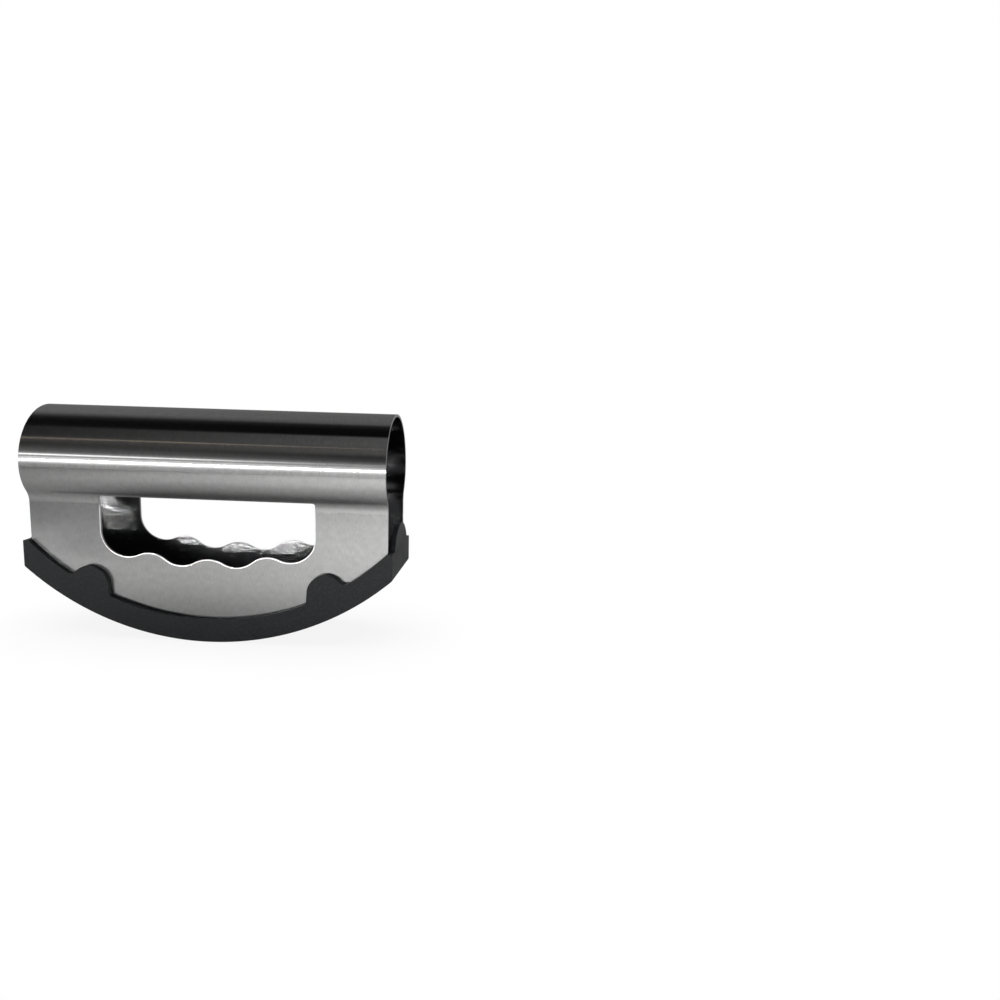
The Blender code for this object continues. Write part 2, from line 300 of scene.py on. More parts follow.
@dataclass(frozen=True)
class Tree:
    """A node tree with short ways to add and link nodes."""

    tree: bpy.types.NodeTree

    def node(self, kind: str, **settings: object) -> bpy.types.Node:
        """Adds a node.

        Args:
            kind: The node's type, without its ShaderNode prefix.
            **settings: Properties set on the node.

        Returns:
            The node.
        """
        added = self.tree.nodes.new(f"ShaderNode{kind}")
        for name, value in settings.items():
            setattr(added, name, value)
        return added

    def link(self, source: Socket, target: Socket) -> None:
        """Links an output to an input."""
        self.tree.links.new(source, target)

    def feed(self, target: Socket, value: object) -> None:
        """Links a socket to an input, or sets a plain value on it."""
        if isinstance(value, Socket):
            self.link(value, target)
        else:
            target.default_value = value

    def math(self, operation: str, first: object, second: object = 0.0) -> Socket:
        """Adds a Math node.

        Args:
            operation: What the node works out.
            first: A number or a socket.
            second: A number or a socket.

        Returns:
            The node's output.
        """
        added = self.node("Math", operation=operation)
        self.feed(added.inputs[0], first)
        self.feed(added.inputs[1], second)
        return added.outputs[0]

    def degrees(self, operation: str, first: object, second: object = 0.0) -> Socket:
        """Works out an angle with a Math node, and gives it in degrees."""
        return self.math("DEGREES", self.math(operation, first, second))

    def span(
        self, value: Socket, start: tuple[float, float], end: tuple[object, object]
    ) -> Socket:
        """Maps a value from one range to another, held at the ends.

        Args:
            value: The value's socket.
            start: Range that the value comes in.
            end: Range that it leaves in, as numbers or sockets.

        Returns:
            The mapped value's socket.
        """
        added = self.node("MapRange")
        self.link(value, added.inputs["Value"])
        added.inputs["From Min"].default_value, added.inputs["From Max"].default_value = start
        self.feed(added.inputs["To Min"], end[0])
        self.feed(added.inputs["To Max"], end[1])
        return added.outputs["Result"]

    def noise(self, vector: Socket, scale: object, detail: float = 2.0) -> Socket:
        """Adds a noise texture.

        Args:
            vector: Coordinates that it reads.
            scale: Its scale, as a number or a socket.
            detail: Its octaves.

        Returns:
            The noise value's socket.
        """
        added = self.node("TexNoise")
        self.link(vector, added.inputs["Vector"])
        self.feed(added.inputs["Scale"], scale)
        added.inputs["Detail"].default_value = detail
        return added.outputs[0]

    def blend(self, factor: object, first: object, second: object) -> Socket:
        """Mixes two colours.

        Args:
            factor: Share of the second, as a number or a socket.
            first: Colour or socket at 0.
            second: Colour or socket at 1.

        Returns:
            The mixed colour's socket.
        """
        added = self.node("Mix", data_type="RGBA")
        self.feed(added.inputs[0], factor)
        self.feed(added.inputs[6], first)
        self.feed(added.inputs[7], second)
        return added.outputs[2]

    def split_rays(self, camera: Socket, others: Socket, surface: Socket) -> None:
        """Feeds one shader to the camera's own rays, and another to all others.

        Args:
            camera: Shader that the camera sees.
            others: Shader that light and mirrors meet.
            surface: Input that takes the two.
        """
        mixed = self.node("MixShader")
        self.link(self.node("LightPath").outputs["Is Camera Ray"], mixed.inputs[0])
        self.link(others, mixed.inputs[1])
        self.link(camera, mixed.inputs[2])
        self.link(mixed.outputs[0], surface)


class NodeGroup:
    """A shader node group that several finishes use, built once."""

    title: str = ""
    values_in: dict[str, float] = {}
    values_out: tuple[str, ...] = ()

    def __init__(self) -> None:
        """Makes the group's sockets and its nodes."""
        self.group = bpy.data.node_groups.new(self.title, "ShaderNodeTree")
        sockets = self.group.interface
        sockets.new_socket("Vector", in_out="INPUT", socket_type="NodeSocketVector")
        for name, value in self.values_in.items():
            socket = sockets.new_socket(name, in_out="INPUT", socket_type="NodeSocketFloat")
            socket.default_value = value
        for name in self.values_out:
            sockets.new_socket(name, in_out="OUTPUT", socket_type="NodeSocketFloat")
        tree = Tree(self.group)
        given = self.group.nodes.new("NodeGroupInput")
        wanted = self.group.nodes.new("NodeGroupOutput")
        for name, result in self.build(tree, given.outputs).items():
            tree.link(result, wanted.inputs[name])

    def build(self, tree: Tree, given: bpy.types.NodeOutputs) -> dict[str, Socket]:
        """Adds the group's nodes.

        Args:
            tree: The group's tree.
            given: Sockets of the group's inputs.

        Returns:
            The socket that feeds each output.
        """
        raise NotImplementedError

    def use(self, tree: Tree, vector: Socket, **values: float) -> bpy.types.NodeOutputs:
        """Places the group in a material.

        Args:
            tree: The material's tree.
            vector: Coordinates that the group reads.
            **values: Values of its inputs, with a low line for each space.

        Returns:
            The group's outputs.
        """
        placed = tree.node("Group", node_tree=self.group)
        tree.link(vector, placed.inputs["Vector"])
        for name, value in values.items():
            placed.inputs[name.replace("_", " ").capitalize()].default_value = value
        return placed.outputs


class BrushGrain(NodeGroup):
    """Long fine scratches that all run one way, along the coordinates' second axis."""

    title = "brush grain"
    values_in = {"Fineness": 4000.0, "Length": 40.0}
    values_out = ("Scratch", "Band")
    used: tuple[float, float] = (0.3, 0.7)  # part of a noise's range that is spread from 0 to 1
    band_fineness: float = 0.12  # as a share of the scratches' fineness

    def build(self, tree: Tree, given: bpy.types.NodeOutputs) -> dict[str, Socket]:
        """Stretches two noises along the grain.

        Args:
            tree: The group's tree.
            given: Sockets of the group's inputs.

        Returns:
            The fine scratches, and the broader bands that they bunch into, both from 0 to 1.
        """
        fine = tree.noise(self.stretch(tree, given, 1.0), 1.0, detail=3.0)
        broad = tree.noise(self.stretch(tree, given, self.band_fineness), 1.0)
        return {
            "Scratch": tree.span(fine, self.used, (0.0, 1.0)),
            "Band": tree.span(broad, self.used, (0.0, 1.0)),
        }

    def stretch(self, tree: Tree, given: bpy.types.NodeOutputs, share: float) -> Socket:
        """Draws the coordinates out along the grain.

        Args:
            tree: The group's tree.
            given: Sockets of the group's inputs.
            share: Share of the fineness that they get across the grain.

        Returns:
            The coordinates.
        """
        parts, joined = tree.node("SeparateXYZ"), tree.node("CombineXYZ")
        tree.link(given["Vector"], parts.inputs[0])
        across = tree.math("MULTIPLY", given["Fineness"], share)
        for axis, scale in enumerate((across, given["Length"], across)):
            tree.link(tree.math("MULTIPLY", parts.outputs[axis], scale), joined.inputs[axis])
        return joined.outputs[0]


class Handling(NodeGroup):
    """Soft smudges that hands leave, from 0 to 1."""

    title = "handling marks"
    values_in = {"Size": 0.02, "Cover": 0.5}
    values_out = ("Smudge",)
    threshold: float = 0.9  # as a share of what the cover leaves free
    softness: float = 0.25  # how far over the threshold a smudge is whole

    def build(self, tree: Tree, given: bpy.types.NodeOutputs) -> dict[str, Socket]:
        """Cuts a noise off softly.

        Args:
            tree: The group's tree.
            given: Sockets of the group's inputs.

        Returns:
            The smudges.
        """
        scale = tree.math("DIVIDE", 1.0, given["Size"])
        cloud = tree.noise(given["Vector"], scale, detail=4.0)
        free = tree.math("SUBTRACT", 1.0, given["Cover"])
        over = tree.math("SUBTRACT", cloud, tree.math("MULTIPLY", free, self.threshold))
        return {"Smudge": tree.span(over, (0.0, self.softness), (0.0, 1.0))}


class MouldedSkin(NodeGroup):
    """The fine leathery pebble and the pale flecks of a moulded plastic skin."""

    title = "moulded skin"
    values_in = {"Pebble size": 0.0005, "Fleck size": 0.0009}
    values_out = ("Pebble", "Fleck")
    smoothness: float = 0.6  # how softly the pebbles run into each other
    sparse: tuple[float, float] = (0.47, 0.72)  # part of the noise's range that makes flecks

    def build(self, tree: Tree, given: bpy.types.NodeOutputs) -> dict[str, Socket]:
        """Adds a pebble texture, and sparse flecks from a fine noise.

        Args:
            tree: The group's tree.
            given: Sockets of the group's inputs.

        Returns:
            The pebble's height and the flecks, both from 0 to 1.
        """
        cells = tree.node("TexVoronoi", feature="SMOOTH_F1")
        tree.link(given["Vector"], cells.inputs["Vector"])
        tree.link(tree.math("DIVIDE", 1.0, given["Pebble size"]), cells.inputs["Scale"])
        cells.inputs["Smoothness"].default_value = self.smoothness
        scale = tree.math("DIVIDE", 1.0, given["Fleck size"])
        dust = tree.noise(given["Vector"], scale, detail=3.0)
        return {
            "Pebble": cells.outputs["Distance"],
            "Fleck": tree.span(dust, self.sparse, (0.0, 1.0)),
        }


@dataclass
class Workshop:
    """The node groups that the finishes share."""

    grain: BrushGrain = field(default_factory=BrushGrain)
    handling: Handling = field(default_factory=Handling)
    skin: MouldedSkin = field(default_factory=MouldedSkin)


@dataclass(frozen=True)
class Finish:
    """One material: its colour and how rough it is."""

    title: str
    colour: tuple[float, float, float]
    roughness: float

    def make(self, shop: Workshop) -> bpy.types.Material:
        """Builds the material.

        Args:
            shop: Node groups that finishes share.

        Returns:
            The material.
        """
        material = bpy.data.materials.new(self.title)
        material.use_nodes = True
        tree = Tree(material.node_tree)
        shader = material.node_tree.nodes["Principled BSDF"]
        shader.inputs["Base Color"].default_value = (*self.colour, 1)
        shader.inputs["Roughness"].default_value = self.roughness
        self.dress(tree, shader, shop)
        return material

    def dress(self, tree: Tree, shader: bpy.types.Node, shop: Workshop) -> None:
        """Adds the finish's own nodes.

        Args:
            tree: The material's tree.
            shader: Its Principled BSDF.
            shop: Node groups that finishes share.
        """
        raise NotImplementedError

    def tone(self, level: float) -> Colour:
        """Gives the finish's colour, made lighter or darker."""
        return (*[min(1.0, part * level) for part in self.colour], 1.0)

    def streaks(self, tree: Tree, value: Socket, contrast: float) -> Socket:
        """Lightens and darkens the colour by a share of itself, as a value goes from 0 to 1."""
        return tree.blend(value, self.tone(1 - contrast), self.tone(1 + contrast))

    def sway(self, tree: Tree, value: Socket, share: float) -> Socket:
        """Sways the roughness by a share of itself, as a value goes from 0 to 1."""
        least, most = self.roughness * (1 - share), self.roughness * (1 + share)
        return tree.span(value, (0.0, 1.0), (least, most))


@dataclass(frozen=True)
class BrushedSteel(Finish):
    """Steel with a one-way grain, which draws its mirror image out across the grain.

    The grain follows the sheet's own map, so it goes round the bends.
    """

    anisotropy: float
    grain_along_handle: bool
    fineness: float
    length: float
    depth: float
    contrast: float
    worked_below: float  # height over the table that the grain fades out at
    fade_height: float = 0.006  # height that it fades out over
    scratch_share: float = 0.6  # of a streak; the rest is its broader band
    roughness_sway: float = 0.07
    smudge_size: float = 0.03
    smudge_cover: float = 0.55
    smudge_roughness: float = 0.012

    def dress(self, tree: Tree, shader: bpy.types.Node, shop: Workshop) -> None:
        """Adds the grain, the smudges and the stretched highlight.

        Args:
            tree: The material's tree.
            shader: Its Principled BSDF.
            shop: Node groups that finishes share.
        """
        shader.inputs["Metallic"].default_value = 1.0
        shader.inputs["Anisotropic"].default_value = self.anisotropy
        turned = 0.25 if self.grain_along_handle else 0.0  # in whole turns
        shader.inputs["Anisotropic Rotation"].default_value = turned
        tangent = tree.node("Tangent", direction_type="UV_MAP", uv_map=SteelBody.map_name)
        tree.link(tangent.outputs[0], shader.inputs["Tangent"])
        sheet = tree.node("UVMap", uv_map=SteelBody.map_name).outputs[0]
        mapping = tree.node("Mapping", vector_type="POINT")
        mapping.inputs["Rotation"].default_value = (0, 0, turned * 2 * math.pi)
        tree.link(sheet, mapping.inputs["Vector"])
        run = mapping.outputs[0]
        grain = shop.grain.use(tree, run, fineness=self.fineness, length=self.length)
        body = tree.node("TexCoord").outputs["Object"]
        marks = shop.handling.use(tree, body, size=self.smudge_size, cover=self.smudge_cover)
        fine = tree.math("MULTIPLY", grain["Scratch"], self.scratch_share)
        broad = tree.math("MULTIPLY", grain["Band"], 1 - self.scratch_share)
        streak = tree.math("ADD", fine, broad)
        tree.link(self.streaks(tree, streak, self.contrast), shader.inputs["Base Color"])
        smudge = tree.math("MULTIPLY", marks["Smudge"], self.smudge_roughness)
        rough = tree.math("ADD", self.sway(tree, streak, self.roughness_sway), smudge)
        tree.link(rough, shader.inputs["Roughness"])
        bump = tree.node("Bump")
        bump.inputs["Distance"].default_value = self.depth
        height = tree.node("SeparateXYZ")
        tree.link(body, height.inputs[0])
        fade = (self.worked_below - self.fade_height, self.worked_below)
        worked = tree.span(height.outputs[2], fade, (1.0, 0.0))
        tree.link(tree.math("MULTIPLY", grain["Scratch"], worked), bump.inputs["Height"])
        tree.link(bump.outputs[0], shader.inputs["Normal"])


@dataclass(frozen=True)
class WorkedEdge(Finish):
    """Steel where a tool has been over it: the ground edge, the cut rims and their roundings."""

    contrast: float
    fineness: float = 3000.0
    length: float = 200.0
    roughness_sway: float = 0.15

    def dress(self, tree: Tree, shader: bpy.types.Node, shop: Workshop) -> None:
        """Adds short tool marks across the edge.

        Args:
            tree: The material's tree.
            shader: Its Principled BSDF.
            shop: Node groups that finishes share.
        """
        shader.inputs["Metallic"].default_value = 1.0
        body = tree.node("TexCoord").outputs["Object"]
        grain = shop.grain.use(tree, body, fineness=self.fineness, length=self.length)
        streaks = self.streaks(tree, grain["Scratch"], self.contrast)
        tree.link(streaks, shader.inputs["Base Color"])
        rough = self.sway(tree, grain["Band"], self.roughness_sway)
        tree.link(rough, shader.inputs["Roughness"])


@dataclass(frozen=True)
class BlackPlastic(Finish):
    """Matt black plastic, moulded, with its edges smoothed and painted pale: a painted highlight
    along the edges, partly real rubbing.
    """

    # share that pales the edges: a painted highlight along the roundings, partly real rubbing
    sheen_and_wear_share: float
    shine: float = 0.3
    pebble_size: float = 0.0006
    pebble_strength: float = 0.35
    pebble_height: float = 0.00006
    fleck_size: float = 0.0011
    fleck_cover: float = 0.9
    ground_tone: float = 0.5  # levels of the ground, the flecks and the pale edges, a painted highlight partly from rubbing
    fleck_tone: float = 3.2
    # tone of the pale edges, a painted highlight partly from rubbing
    sheen_and_worn_tone: float = 2.2
    worn_polish: float = 0.15
    roughness_sway: float = 0.08
    smudge_size: float = 0.012
    smudge_cover: float = 0.5

    def dress(self, tree: Tree, shader: bpy.types.Node, shop: Workshop) -> None:
        """Adds the moulded skin, the dust in it and the pale edges, which are a painted highlight,
        partly real rubbing.

        Args:
            tree: The material's tree.
            shader: Its Principled BSDF.
            shop: Node groups that finishes share.
        """
        shader.inputs["Specular IOR Level"].default_value = self.shine
        body = tree.node("TexCoord").outputs["Object"]
        sizes = {"pebble_size": self.pebble_size, "fleck_size": self.fleck_size}
        skin = shop.skin.use(tree, body, **sizes)
        marks = shop.handling.use(tree, body, size=self.smudge_size, cover=self.smudge_cover)
        # pale edges: a painted highlight along the roundings, partly real rubbing; the polish below
        # only lowers roughness
        sheen_and_rubbing = tree.node("Attribute", attribute_name=Guard.sheen_and_wear_name).outputs["Fac"]
        sheen_and_worn = tree.math("MULTIPLY", sheen_and_rubbing, self.sheen_and_wear_share)
        fleck = tree.math("MULTIPLY", skin["Fleck"], self.fleck_cover)
        flecked = tree.blend(fleck, self.tone(self.ground_tone), self.tone(self.fleck_tone))
        colour = tree.blend(sheen_and_worn, flecked, self.tone(self.sheen_and_worn_tone))
        tree.link(colour, shader.inputs["Base Color"])
        polish = tree.math("MULTIPLY", sheen_and_worn, self.worn_polish)
        rough = self.sway(tree, marks["Smudge"], self.roughness_sway)
        tree.link(tree.math("SUBTRACT", rough, polish), shader.inputs["Roughness"])
        bump = tree.node("Bump")
        bump.inputs["Strength"].default_value = self.pebble_strength
        bump.inputs["Distance"].default_value = self.pebble_height
        tree.link(skin["Pebble"], bump.inputs["Height"])
        tree.link(bump.outputs[0], shader.inputs["Normal"])


@dataclass
class Piece:
    """A visible piece of the tool, built from meshes and cutters."""

    def cut(self, obj: bpy.types.Object, cutter: bpy.types.Object, way: Cut) -> None:
        """Adds a Boolean to an object, its cutter hidden.

        Args:
            obj: Object that is worked on.
            cutter: Object that shapes it.
            way: What the cutter does.
        """
        cutter.hide_render = True
        modifier = obj.modifiers.new(cutter.name, "BOOLEAN")
        modifier.operation = way.value
        modifier.solver = "EXACT"
        modifier.object = cutter

    def settle(self, obj: bpy.types.Object) -> None:
        """Makes the evaluated shape the object's own mesh, and removes its cutters."""
        graph = bpy.context.evaluated_depsgraph_get()
        mesh = bpy.data.meshes.new_from_object(obj.evaluated_get(graph))
        cutters = [m.object for m in obj.modifiers if m.type == "BOOLEAN"]
        obj.modifiers.clear()
        old, obj.data = obj.data, mesh
        mesh.name = obj.name
        bpy.data.meshes.remove(old)
        for cutter in cutters:
            bpy.data.objects.remove(cutter, do_unlink=True)

    def round_edges(
        self,
        bm: bmesh.types.BMesh,
        wanted: Callable[[bmesh.types.BMEdge], bool],
        width: float,
        segments: int,
        material: int = -1,
    ) -> list[bmesh.types.BMVert]:
        """Rounds the sharp edges that a test lets through.

        Args:
            bm: The bmesh.
            wanted: The test of an edge.
            width: Width of the rounding.
            segments: Flats that the rounding is cut into.
            material: Its material slot, or -1 for that of the faces beside it.

        Returns:
            The rounding's points.
        """
        bmesh.ops.remove_doubles(bm, verts=bm.verts, dist=TOUCHING)
        edges = [
            edge
            for edge in bm.edges
            if len(edge.link_faces) == 2 and edge.calc_face_angle() > EDGE_ANGLE and wanted(edge)
        ]
        made = bmesh.ops.bevel(
            bm,
            geom=edges,
            offset=width,
            segments=segments,
            profile=0.5,
            affect="EDGES",
            material=material,
            clamp_overlap=True,
        )
        return made["verts"]

    def smooth(self, obj: bpy.types.Object, crisp: frozenset[int] = frozenset()) -> None:
        """Shades curves smooth, edges sharp and flats flat.

        Args:
            obj: The object.
            crisp: A pair of material slots that always meet in a sharp edge.
        """
        obj.data.shade_smooth()
        obj.data.set_sharp_from_angle(angle=EDGE_ANGLE)
        with reworked(obj) as bm:
            for edge in bm.edges:
                if crisp and {face.material_index for face in edge.link_faces} == crisp:
                    edge.smooth = False
        weighted = obj.modifiers.new("flat flats", "WEIGHTED_NORMAL")
        weighted.keep_sharp = True
        self.settle(obj)


@dataclass
class SteelBody(Piece):
    """The strip: a tube for a handle, two blades with a finger window, and ground edges."""

    map_name = "SheetMap"

    length: float
    handle_z: float
    rocking_z: float
    thickness: float = 0.0012
    handle_radius: float = 0.0257
    blade_y: float = 0.0194  # outer face of a blade
    turn_in_radius: float = 0.0199
    neck_radius: float = 0.008
    edge_radius: float = 0.1257
    edge_height: float = 0.002669  # lowest point of the edge over the table, in the guard
    grind_width: float = 0.004
    edge_land: float = 0.00025
    window_half: float = 0.0496
    window_top_drop: float = 0.0138
    window_top_fillet: float = 0.001
    finger_radius: float = 0.0121
    inner_finger_offset: float = 0.0126
    inner_finger_drop: float = 0.0449
    outer_finger_drop: float = 0.0417
    middle_crest_radius: float = 0.0136
    outer_crest_radius: float = 0.0117
    coin_width: float = 0.0003  # flat pressed round the window on the outer faces
    coin_depth: float = 0.000045
    coin_flare: float = 2.0  # how far out the punch reaches, in widths of that flat
    coin_step: float = 0.8  # step of the punch's curves, as a share of the window's
    arris_width: float = 0.00012  # rounding of the cut edges
    arris_flats: int = 2
    grain_drop: float = 0.003  # how far below the necks the inside's grain fades out
    reach: float = 0.02  # how far a cutter runs past what it cuts
    curve_step: float = math.radians(1.0)
    finger_step: float = math.radians(3.0)

    @property
    def lean(self) -> float:
        """Gives the angle that each side of the tube turns in by before it bends back."""
        joined = self.turn_in_radius + self.neck_radius
        across = joined - (self.handle_radius - self.blade_y)
        return math.acos(across / joined)

    @property
    def bend_z(self) -> float:
        """Gives the height over the table where the blades' flats end and the necks start."""
        return self.handle_z - (self.turn_in_radius + self.neck_radius) * math.sin(self.lean)

    def keyhole(self) -> Pen:
        """Draws the outer face from the front blade's foot over the tube to the rear's.

        Each side of the tube turns in on a tighter arc, and a bend the other way leads
        into the blade's flat.

        Returns:
            The pen, its outline open.
        """
        lean, bend_z = self.lean, self.bend_z
        bend_y = self.blade_y + self.neck_radius
        turn_in_y = self.handle_radius - self.turn_in_radius
        foot = self.rocking_z - self.edge_radius - self.reach
        pen = Pen(Plane.SIDE, (-self.blade_y, foot), self.curve_step)
        pen.line((-self.blade_y, bend_z))
        pen.turn((-bend_y, bend_z), lean)
        pen.turn((-turn_in_y, self.handle_z), -lean)
        pen.turn((0, self.handle_z), -math.pi)
        pen.turn((turn_in_y, self.handle_z), -lean)
        pen.turn((bend_y, bend_z), lean)
        pen.line((self.blade_y, foot))
        return pen

    def blank(self) -> bpy.types.Object:
        """Makes the bent strip with its map: along the handle, and along the sheet's run.

        Returns:
            The strip, its blades still square at the foot.
        """
        pen = self.keyhole()
        half = self.length / 2
        run, walked = {}, 0.0
        behind, here = None, next(v for v in pen.bm.verts if len(v.link_edges) == 1)
        while here:
            run[self.key(here.co)] = walked
            ahead = [edge.other_vert(here) for edge in here.link_edges]
            following = next((vert for vert in ahead if vert is not behind), None)
            if following:
                walked += (following.co - here.co).length
            behind, here = here, following
        bm = pen.sheet(-half, half)
        layer = bm.loops.layers.uv.new(self.map_name)
        for face in bm.faces:
            for loop in face.loops:
                loop[layer].uv = (loop.vert.co.x, run[self.key(loop.vert.co)])
        crown = max(bm.faces, key=lambda face: face.calc_center_median().z)
        if crown.normal.z < 0:
            bmesh.ops.reverse_faces(bm, faces=bm.faces)
        return add_object("steel_body", bm)

    @staticmethod
    def key(point: Vector) -> tuple[float, float]:
        """Names a point of the keyhole outline by where it lies across and up."""
        return (round(point.y, 7), round(point.z, 7))

    def edge_form(self) -> bpy.types.Object:
        """Turns the disc that keeps the blades inside the rocking curve and grinds them.

        Returns:
            The disc.
        """
        land_y = self.blade_y - self.thickness + self.edge_land
        side_y = self.handle_radius + self.reach
        shoulder = self.edge_radius - self.grind_width
        bm = bmesh.new()
        middle = Vector((0, 0, self.rocking_z))
        profile = [
            (0, side_y),
            (shoulder, side_y),
            (shoulder, self.blade_y),
            (self.edge_radius, land_y),
            (self.edge_radius, -land_y),
            (shoulder, -self.blade_y),
            (shoulder, -side_y),
            (0, -side_y),
        ]
        verts = [bm.verts.new(middle + Vector((0, y, -radius))) for radius, y in profile]
        edges = [bm.edges.new(pair) for pair in zip(verts[:-1], verts[1:])]
        bmesh.ops.spin(
            bm,
            geom=verts + edges,
            cent=middle,
            axis=(0, 1, 0),
            angle=2 * math.pi,
            steps=round(2 * math.pi / self.curve_step),
            use_merge=True,
        )
        bmesh.ops.remove_doubles(bm, verts=bm.verts, dist=TOUCHING)
        bmesh.ops.recalc_face_normals(bm, faces=bm.faces)
        return add_object("edge_form", bm)

    def window_outline(self, larger: float, top: float, step: float) -> Pen:
        """Draws the finger window: four hollows, three crests and a straight top.

        Args:
            larger: How far outside the window's own edge the outline runs.
            top: Height over the table of the straight top.
            step: Angle between the points of the curves.

        Returns:
            The pen, its outline closed by its last line.
        """
        half, fillet = self.window_half + larger, self.window_top_fillet + larger
        outer_z = self.handle_z - self.outer_finger_drop + self.finger_radius
        inner_z = self.handle_z - self.inner_finger_drop + self.finger_radius
        outer_x = self.window_half - self.finger_radius
        inner_x = self.inner_finger_offset
        hollows = [(-outer_x, outer_z), (-inner_x, inner_z), (inner_x, inner_z), (outer_x, outer_z)]
        radii = [self.outer_crest_radius, self.middle_crest_radius, self.outer_crest_radius]
        crests = []
        for left, right, radius in zip(hollows, hollows[1:], radii):
            apart = self.finger_radius + radius
            crests.append(circles_meet(left, apart, right, apart))
        pen = Pen(Plane.FRONT, (-half, outer_z), step)
        for hollow, crest, following in zip(hollows, crests, hollows[1:]):
            pen.swing(hollow, crest, Turn.LEFT)
            pen.swing(crest, following, Turn.RIGHT)
        pen.swing(hollows[-1], (half, outer_z), Turn.LEFT)
        pen.corner((half, top), (-half, top), fillet)
        pen.corner((-half, top), (-half, outer_z), fillet)
        return pen

    def window_cutter(self) -> bpy.types.Object:
        """Makes the finger window a block through both blades.

        Returns:
            The block.
        """
        through = self.handle_radius + self.reach
        outline = self.window_outline(0.0, self.handle_z - self.window_top_drop, self.finger_step)
        return add_object("window_cutter", outline.block(-through, through))

    def coining_tool(self, name: str, side: int) -> bpy.types.Object:
        """Makes the flared punch that presses a sloping flat round the window.

        It stays below the necks, and its curves have their own step, so that none of its
        edges lies on an edge of the window.

        Args:
            name: Name of the punch.
            side: -1 for the front blade, 1 for the rear blade.

        Returns:
            The punch.
        """
        inside, outside = -self.coin_width / 2, self.coin_width * self.coin_flare
        slope = self.coin_depth / self.coin_width
        step = self.finger_step * self.coin_step
        bm = self.window_outline(inside, self.bend_z + inside, step).block(0.0, 1.0)
        wide = self.window_outline(outside, self.bend_z + inside, step).block(0.0, 1.0)
        root = self.blade_y - self.coin_depth
        for vert, wider in zip(bm.verts, wide.verts):
            larger = inside
            if vert.co.y > 0.5:  # the far end of the block
                larger = outside
                vert.co = wider.co
            vert.co.y = side * (root + larger * slope)
        wide.free()
        if side < 0:
            bmesh.ops.reverse_faces(bm, faces=bm.faces)
        return add_object(name, bm)

    def round_arrises(self, obj: bpy.types.Object) -> None:
        """Rounds the edges between the sheet and the cut rims, where nothing has coined them.

        Args:
            obj: The pierced strip.
        """
        with reworked(obj) as bm:
            width, flats = self.arris_width, self.arris_flats
            self.round_edges(bm, self.is_arris, width, flats, material=Surface.ARRIS)

    def is_arris(self, edge: bmesh.types.BMEdge) -> bool:
        """Tells whether an edge lies between the sheet's outside or inside and a cut rim."""
        beside = {face.material_index for face in edge.link_faces}
        return Surface.RIM in beside and bool(beside & {Surface.OUTSIDE, Surface.INSIDE})

    def finishes(self) -> dict[Surface, Finish]:
        """Names the finish of each kind of surface.

        Returns:
            The finishes, in the order of the material slots.
        """
        outside = BrushedSteel(
            "brushed outside",
            (0.62, 0.62, 0.615),
            0.14,
            anisotropy=1.0,
            grain_along_handle=False,
            fineness=2200.0,
            length=350.0,
            depth=3e-6,
            contrast=0.12,
            worked_below=1.0,
        )
        inside = BrushedSteel(
            "rolled inside",
            (0.82, 0.82, 0.83),
            0.1,
            anisotropy=1.0,
            grain_along_handle=True,
            fineness=5200.0,
            length=120.0,
            depth=3e-5,
            contrast=0.04,
            worked_below=self.bend_z - self.grain_drop,
        )
        return {
            Surface.OUTSIDE: outside,
            Surface.INSIDE: inside,
            Surface.RIM: WorkedEdge("sheared rim", (0.45,) * 3, 0.45, contrast=0.08),
            Surface.GROUND: WorkedEdge(
                "ground edge", (0.68,) * 3, 0.22, contrast=0.05, fineness=2500.0, length=100.0
            ),
            Surface.ARRIS: WorkedEdge("rounded arris", (0.68,) * 3, 0.2, contrast=0.04),
            Surface.COINED: WorkedEdge("coined flat", (0.7,) * 3, 0.3, contrast=0.05),
        }

    def build(self, shop: Workshop) -> bpy.types.Object:
        """Bends, trims, grinds, pierces and finishes the strip.

        Args:
            shop: Node groups that finishes share.

        Returns:
            The finished piece.
        """
        body = self.blank()
        for finish in self.finishes().values():
            body.data.materials.append(finish.make(shop))
        wall = body.modifiers.new("wall", "SOLIDIFY")
        wall.thickness = self.thickness
        wall.offset = -1
        wall.use_even_offset = True
        wall.material_offset = Surface.INSIDE
        wall.material_offset_rim = Surface.RIM
        form, cutter = self.edge_form(), self.window_cutter()
        punches = [
            self.coining_tool(name, side) for name, side in (("front_coin", -1), ("rear_coin", 1))
        ]
        leaves = {form: Surface.GROUND, cutter: Surface.RIM}
        leaves.update({punch: Surface.COINED for punch in punches})
        for tool, surface in leaves.items():
            for polygon in tool.data.polygons:
                polygon.material_index = surface
        self.cut(body, form, Cut.KEEP_INSIDE)
        self.cut(body, cutter, Cut.TAKE_AWAY)
        for punch in punches:
            self.cut(body, punch, Cut.TAKE_AWAY)
        self.settle(body)
        self.round_arrises(body)
        self.smooth(body, crisp=frozenset((Surface.OUTSIDE, Surface.COINED)))
        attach(body, "chopper")
        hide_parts("folded_steel_body")
        return body


